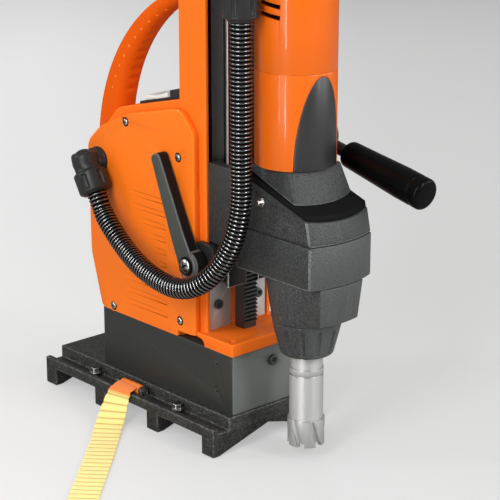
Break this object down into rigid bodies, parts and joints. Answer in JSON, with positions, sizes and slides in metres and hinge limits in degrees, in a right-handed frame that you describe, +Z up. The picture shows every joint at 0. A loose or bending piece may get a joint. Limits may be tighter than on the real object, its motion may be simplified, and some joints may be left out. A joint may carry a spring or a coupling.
{
  "type": "pipe drilling attachment",
  "caption": "Magnetic core drill stand on a pipe saddle with a tension strap, rack feed, capstan, clamp lever, motor, gear head and annular cutter.",
  "frame": {"origin": "under the middle of the saddle, in the plane of its feet, on the line above the pipe's axis", "axes": "+X forward along the pipe to the cutter, +Y to the capstan's side, +Z up along the feed"},
  "size_m": [0.4077, 0.4637, 0.506],
  "materials": {
    "orange_casting": "satin orange paint on an aluminium casting",
    "orange_shell": "glossy orange moulding",
    "black_casting": "black textured paint on a casting",
    "black_steel": "satin black paint",
    "grey_casting": "dark grey textured casting",
    "grey_plastic": "matt grey moulding",
    "black_plastic": "matt black moulding",
    "black_rubber": "black rubber",
    "black_gloss": "polished black moulding",
    "bright_steel": "bright steel",
    "dark_steel": "blackened steel",
    "zinc_steel": "zinc plated pressed steel",
    "bronze": "bearing bronze",
    "winding": "varnished copper winding",
    "yellow_webbing": "woven yellow webbing",
    "orange_webbing": "sewn orange webbing",
    "green_button": "glossy green moulding",
    "red_button": "glossy red moulding"
  },
  "bodies": {
    "stand": {"saddle_base": "black_casting", "seat_bolts": "bright_steel", "strap_bar": "bright_steel", "strap_eye": "orange_webbing", "strap_run": "yellow_webbing", "strap_roll": "yellow_webbing", "ratchet_frame": "zinc_steel", "magnet_block": "black_steel", "magnet_coil": "winding", "magnet_plug": "dark_steel", "stand_casting": "orange_casting", "right_cover": "orange_shell", "left_cover": "orange_shell", "cover_screws": "bright_steel", "handle_arch": "orange_casting", "control_panel": "black_plastic", "column_rail": "black_steel", "feed_rack": "bright_steel", "rail_feet": "bright_steel", "rail_foot_screws": "dark_steel", "column_cap": "black_plastic", "clamp_plate": "black_steel", "lower_elbow": "black_plastic", "conduit": "black_plastic"},
    "lever": {"clamp_lever": "black_steel", "lever_screw": "bright_steel"},
    "carriage": {"carriage": "grey_casting", "gib_strip": "bronze", "gib_screws": "bright_steel", "head_upper": "grey_casting", "head_lower": "grey_casting", "head_seal": "black_rubber", "motor_neck": "grey_casting", "nose_housing": "grey_casting", "nose_cone": "grey_casting", "coolant_nipple": "bright_steel", "motor_lower": "orange_shell", "motor_insert": "grey_plastic", "motor_upper": "orange_shell", "motor_cap": "black_plastic", "stator": "bright_steel", "armature_bearings": "bright_steel", "spindle_bearings": "bright_steel", "upper_elbow": "black_plastic"},
    "capstan": {"feed_pinion": "bright_steel", "capstan_hub": "black_plastic", "capstan_spokes": "bright_steel", "capstan_grips": "black_gloss"},
    "spindle": {"spindle": "bright_steel", "spindle_gear": "bright_steel", "core_cutter": "bright_steel", "pilot_pin": "bright_steel"},
    "armature": {"armature": "winding", "motor_fan": "black_plastic"},
    "magnet_switch": {"magnet_switch": "grey_plastic"},
    "start_button": {"start_button": "green_button"},
    "stop_button": {"stop_button": "red_button"},
    "ratchet_handle": {"ratchet_handle": "zinc_steel"},
    "ratchet_spool": {"ratchet_spool": "zinc_steel"}
  },
  "joints": [
    {"name": "feed", "type": "slide", "parent": "stand", "child": "carriage", "axis": [0, 0, 1], "range_m": [-0.04, 0.115], "deforming": ["conduit"]},
    {"name": "capstan_turn", "type": "hinge", "parent": "carriage", "child": "capstan", "pos_m": [0.115, 0.071, 0.284], "axis": [0, 1, 0], "range_deg": [-760, 270]},
    {"name": "spindle_turn", "type": "hinge", "parent": "carriage", "child": "spindle", "pos_m": [0.182, 0, 0.12], "axis": [0, 0, 1], "continuous": true},
    {"name": "armature_turn", "type": "hinge", "parent": "carriage", "child": "armature", "pos_m": [0.165, 0, 0.3], "axis": [0, 0, 1], "continuous": true},
    {"name": "lever_turn", "type": "hinge", "parent": "stand", "child": "lever", "pos_m": [0.0845, -0.05, 0.176], "axis": [0, 1, 0], "range_deg": [-20, 40]},
    {"name": "magnet_rock", "type": "hinge", "parent": "stand", "child": "magnet_switch", "pos_m": [0.00675, -0.016, 0.31529], "axis": [0, 1, 0], "range_deg": [-4, 4]},
    {"name": "start_press", "type": "slide", "parent": "stand", "child": "start_button", "axis": [-0.2419, 0, 0.9703], "range_m": [-0.003, 0], "stiffness_N_per_m": 400},
    {"name": "stop_press", "type": "slide", "parent": "stand", "child": "stop_button", "axis": [-0.2419, 0, 0.9703], "range_m": [-0.003, 0], "stiffness_N_per_m": 400},
    {"name": "ratchet_pull", "type": "hinge", "parent": "stand", "child": "ratchet_handle", "pos_m": [-0.022, 0.071, 0.046], "axis": [1, 0, 0], "range_deg": [-110, 0]},
    {"name": "ratchet_spin", "type": "hinge", "parent": "stand", "child": "ratchet_spool", "pos_m": [-0.022, 0.071, 0.046], "axis": [1, 0, 0], "continuous": true}
  ],
  "couplings": [
    {"joint": "capstan_turn", "follows": "feed", "rad_per_m": -114.29},
    {"joint": "armature_turn", "follows": "spindle_turn", "ratio": -2.4}
  ]
}
